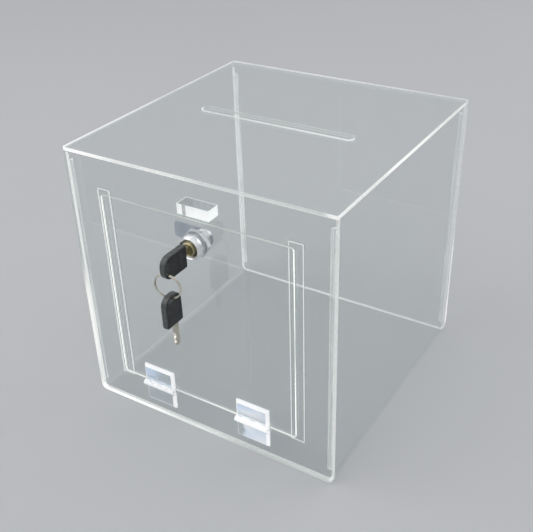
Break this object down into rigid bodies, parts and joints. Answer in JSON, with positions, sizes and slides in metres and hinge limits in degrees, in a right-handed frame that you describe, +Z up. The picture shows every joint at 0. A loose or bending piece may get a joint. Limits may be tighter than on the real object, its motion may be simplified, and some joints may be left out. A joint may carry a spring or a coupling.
{
  "type": "raffle box",
  "caption": "Clear acrylic cube box with a ticket slot in the lid and a bottom-hinged front door held by a cam lock with keys on a split ring.",
  "frame": {"origin": "middle of the square footprint, on the surface that the box stands on", "axes": "+X to the right seen from the front, +Y from the front to the back, +Z up"},
  "size_m": [0.25, 0.2919, 0.25],
  "materials": {
    "acrylic_case": "clear polished sheet, bright cut edges",
    "acrylic_door": "clear polished sheet, bright cut edges",
    "acrylic_strips": "clear sheet with sawn edges",
    "acrylic_rods": "clear rod, frosted ends",
    "striker_acrylic": "clear block, sawn white ends",
    "hinge_plastic": "clear moulded plastic",
    "pin_steel": "bright drawn pin",
    "lock_chrome": "chrome plated",
    "nut_plated": "bright plated",
    "core_brass": "machined, slightly dull",
    "wafer_brass": "stamped",
    "cam_steel": "zinc plated stamping",
    "key_metal": "nickel plated",
    "key_plastic": "black moulded, semi-gloss",
    "ring_steel": "nickel plated spring wire"
  },
  "bodies": {
    "case": {"body_shell": "acrylic_case", "front_panel": "acrylic_case", "back_panel": "acrylic_case", "top_panel": "acrylic_case", "corner_rod_front_left": "acrylic_rods", "corner_rod_front_right": "acrylic_rods", "corner_rod_back_left": "acrylic_rods", "corner_rod_back_right": "acrylic_rods", "door_stop_left": "acrylic_strips", "door_stop_right": "acrylic_strips", "striker_block": "striker_acrylic", "hinge_left_case_leaf": "hinge_plastic", "hinge_right_case_leaf": "hinge_plastic", "hinge_left_pin": "pin_steel", "hinge_right_pin": "pin_steel"},
    "door": {"door_panel": "acrylic_door", "hinge_left_door_leaf": "hinge_plastic", "hinge_right_door_leaf": "hinge_plastic", "lock_body": "lock_chrome", "lock_washer": "nut_plated", "lock_nut": "nut_plated"},
    "lock_core": {"lock_plug": "core_brass", "lock_wafers": "wafer_brass", "lock_stop_washer": "cam_steel", "lock_cam": "cam_steel", "cam_washer": "cam_steel", "cam_nut": "nut_plated"},
    "key": {"key_blade": "key_metal", "key_head": "key_plastic"},
    "ring": {"key_ring": "ring_steel"},
    "spare_key": {"spare_key_blade": "key_metal", "spare_key_head": "key_plastic"}
  },
  "joints": [
    {"name": "door_swing", "type": "hinge", "parent": "case", "child": "door", "pos_m": [0, -0.128, 0.0343], "axis": [1, 0, 0], "range_deg": [0, 85]},
    {"name": "lock_turn", "type": "hinge", "parent": "door", "child": "lock_core", "pos_m": [0, -0.125, 0.192], "axis": [0, 1, 0], "range_deg": [0, 90]},
    {"name": "key_withdraw", "type": "slide", "parent": "lock_core", "child": "key", "axis": [0, -1, 0], "range_m": [0, 0.025]},
    {"name": "ring_swing", "type": "hinge", "parent": "key", "child": "ring", "pos_m": [0, -0.1598, 0.18504], "axis": [0.9848, 0.1736, 0], "range_deg": [-25, 9]},
    {"name": "spare_key_swing", "type": "hinge", "parent": "ring", "child": "spare_key", "pos_m": [-0.00026, -0.15831, 0.1634], "axis": [0.9848, 0.1736, 0], "range_deg": [-20, 12]}
  ]
}
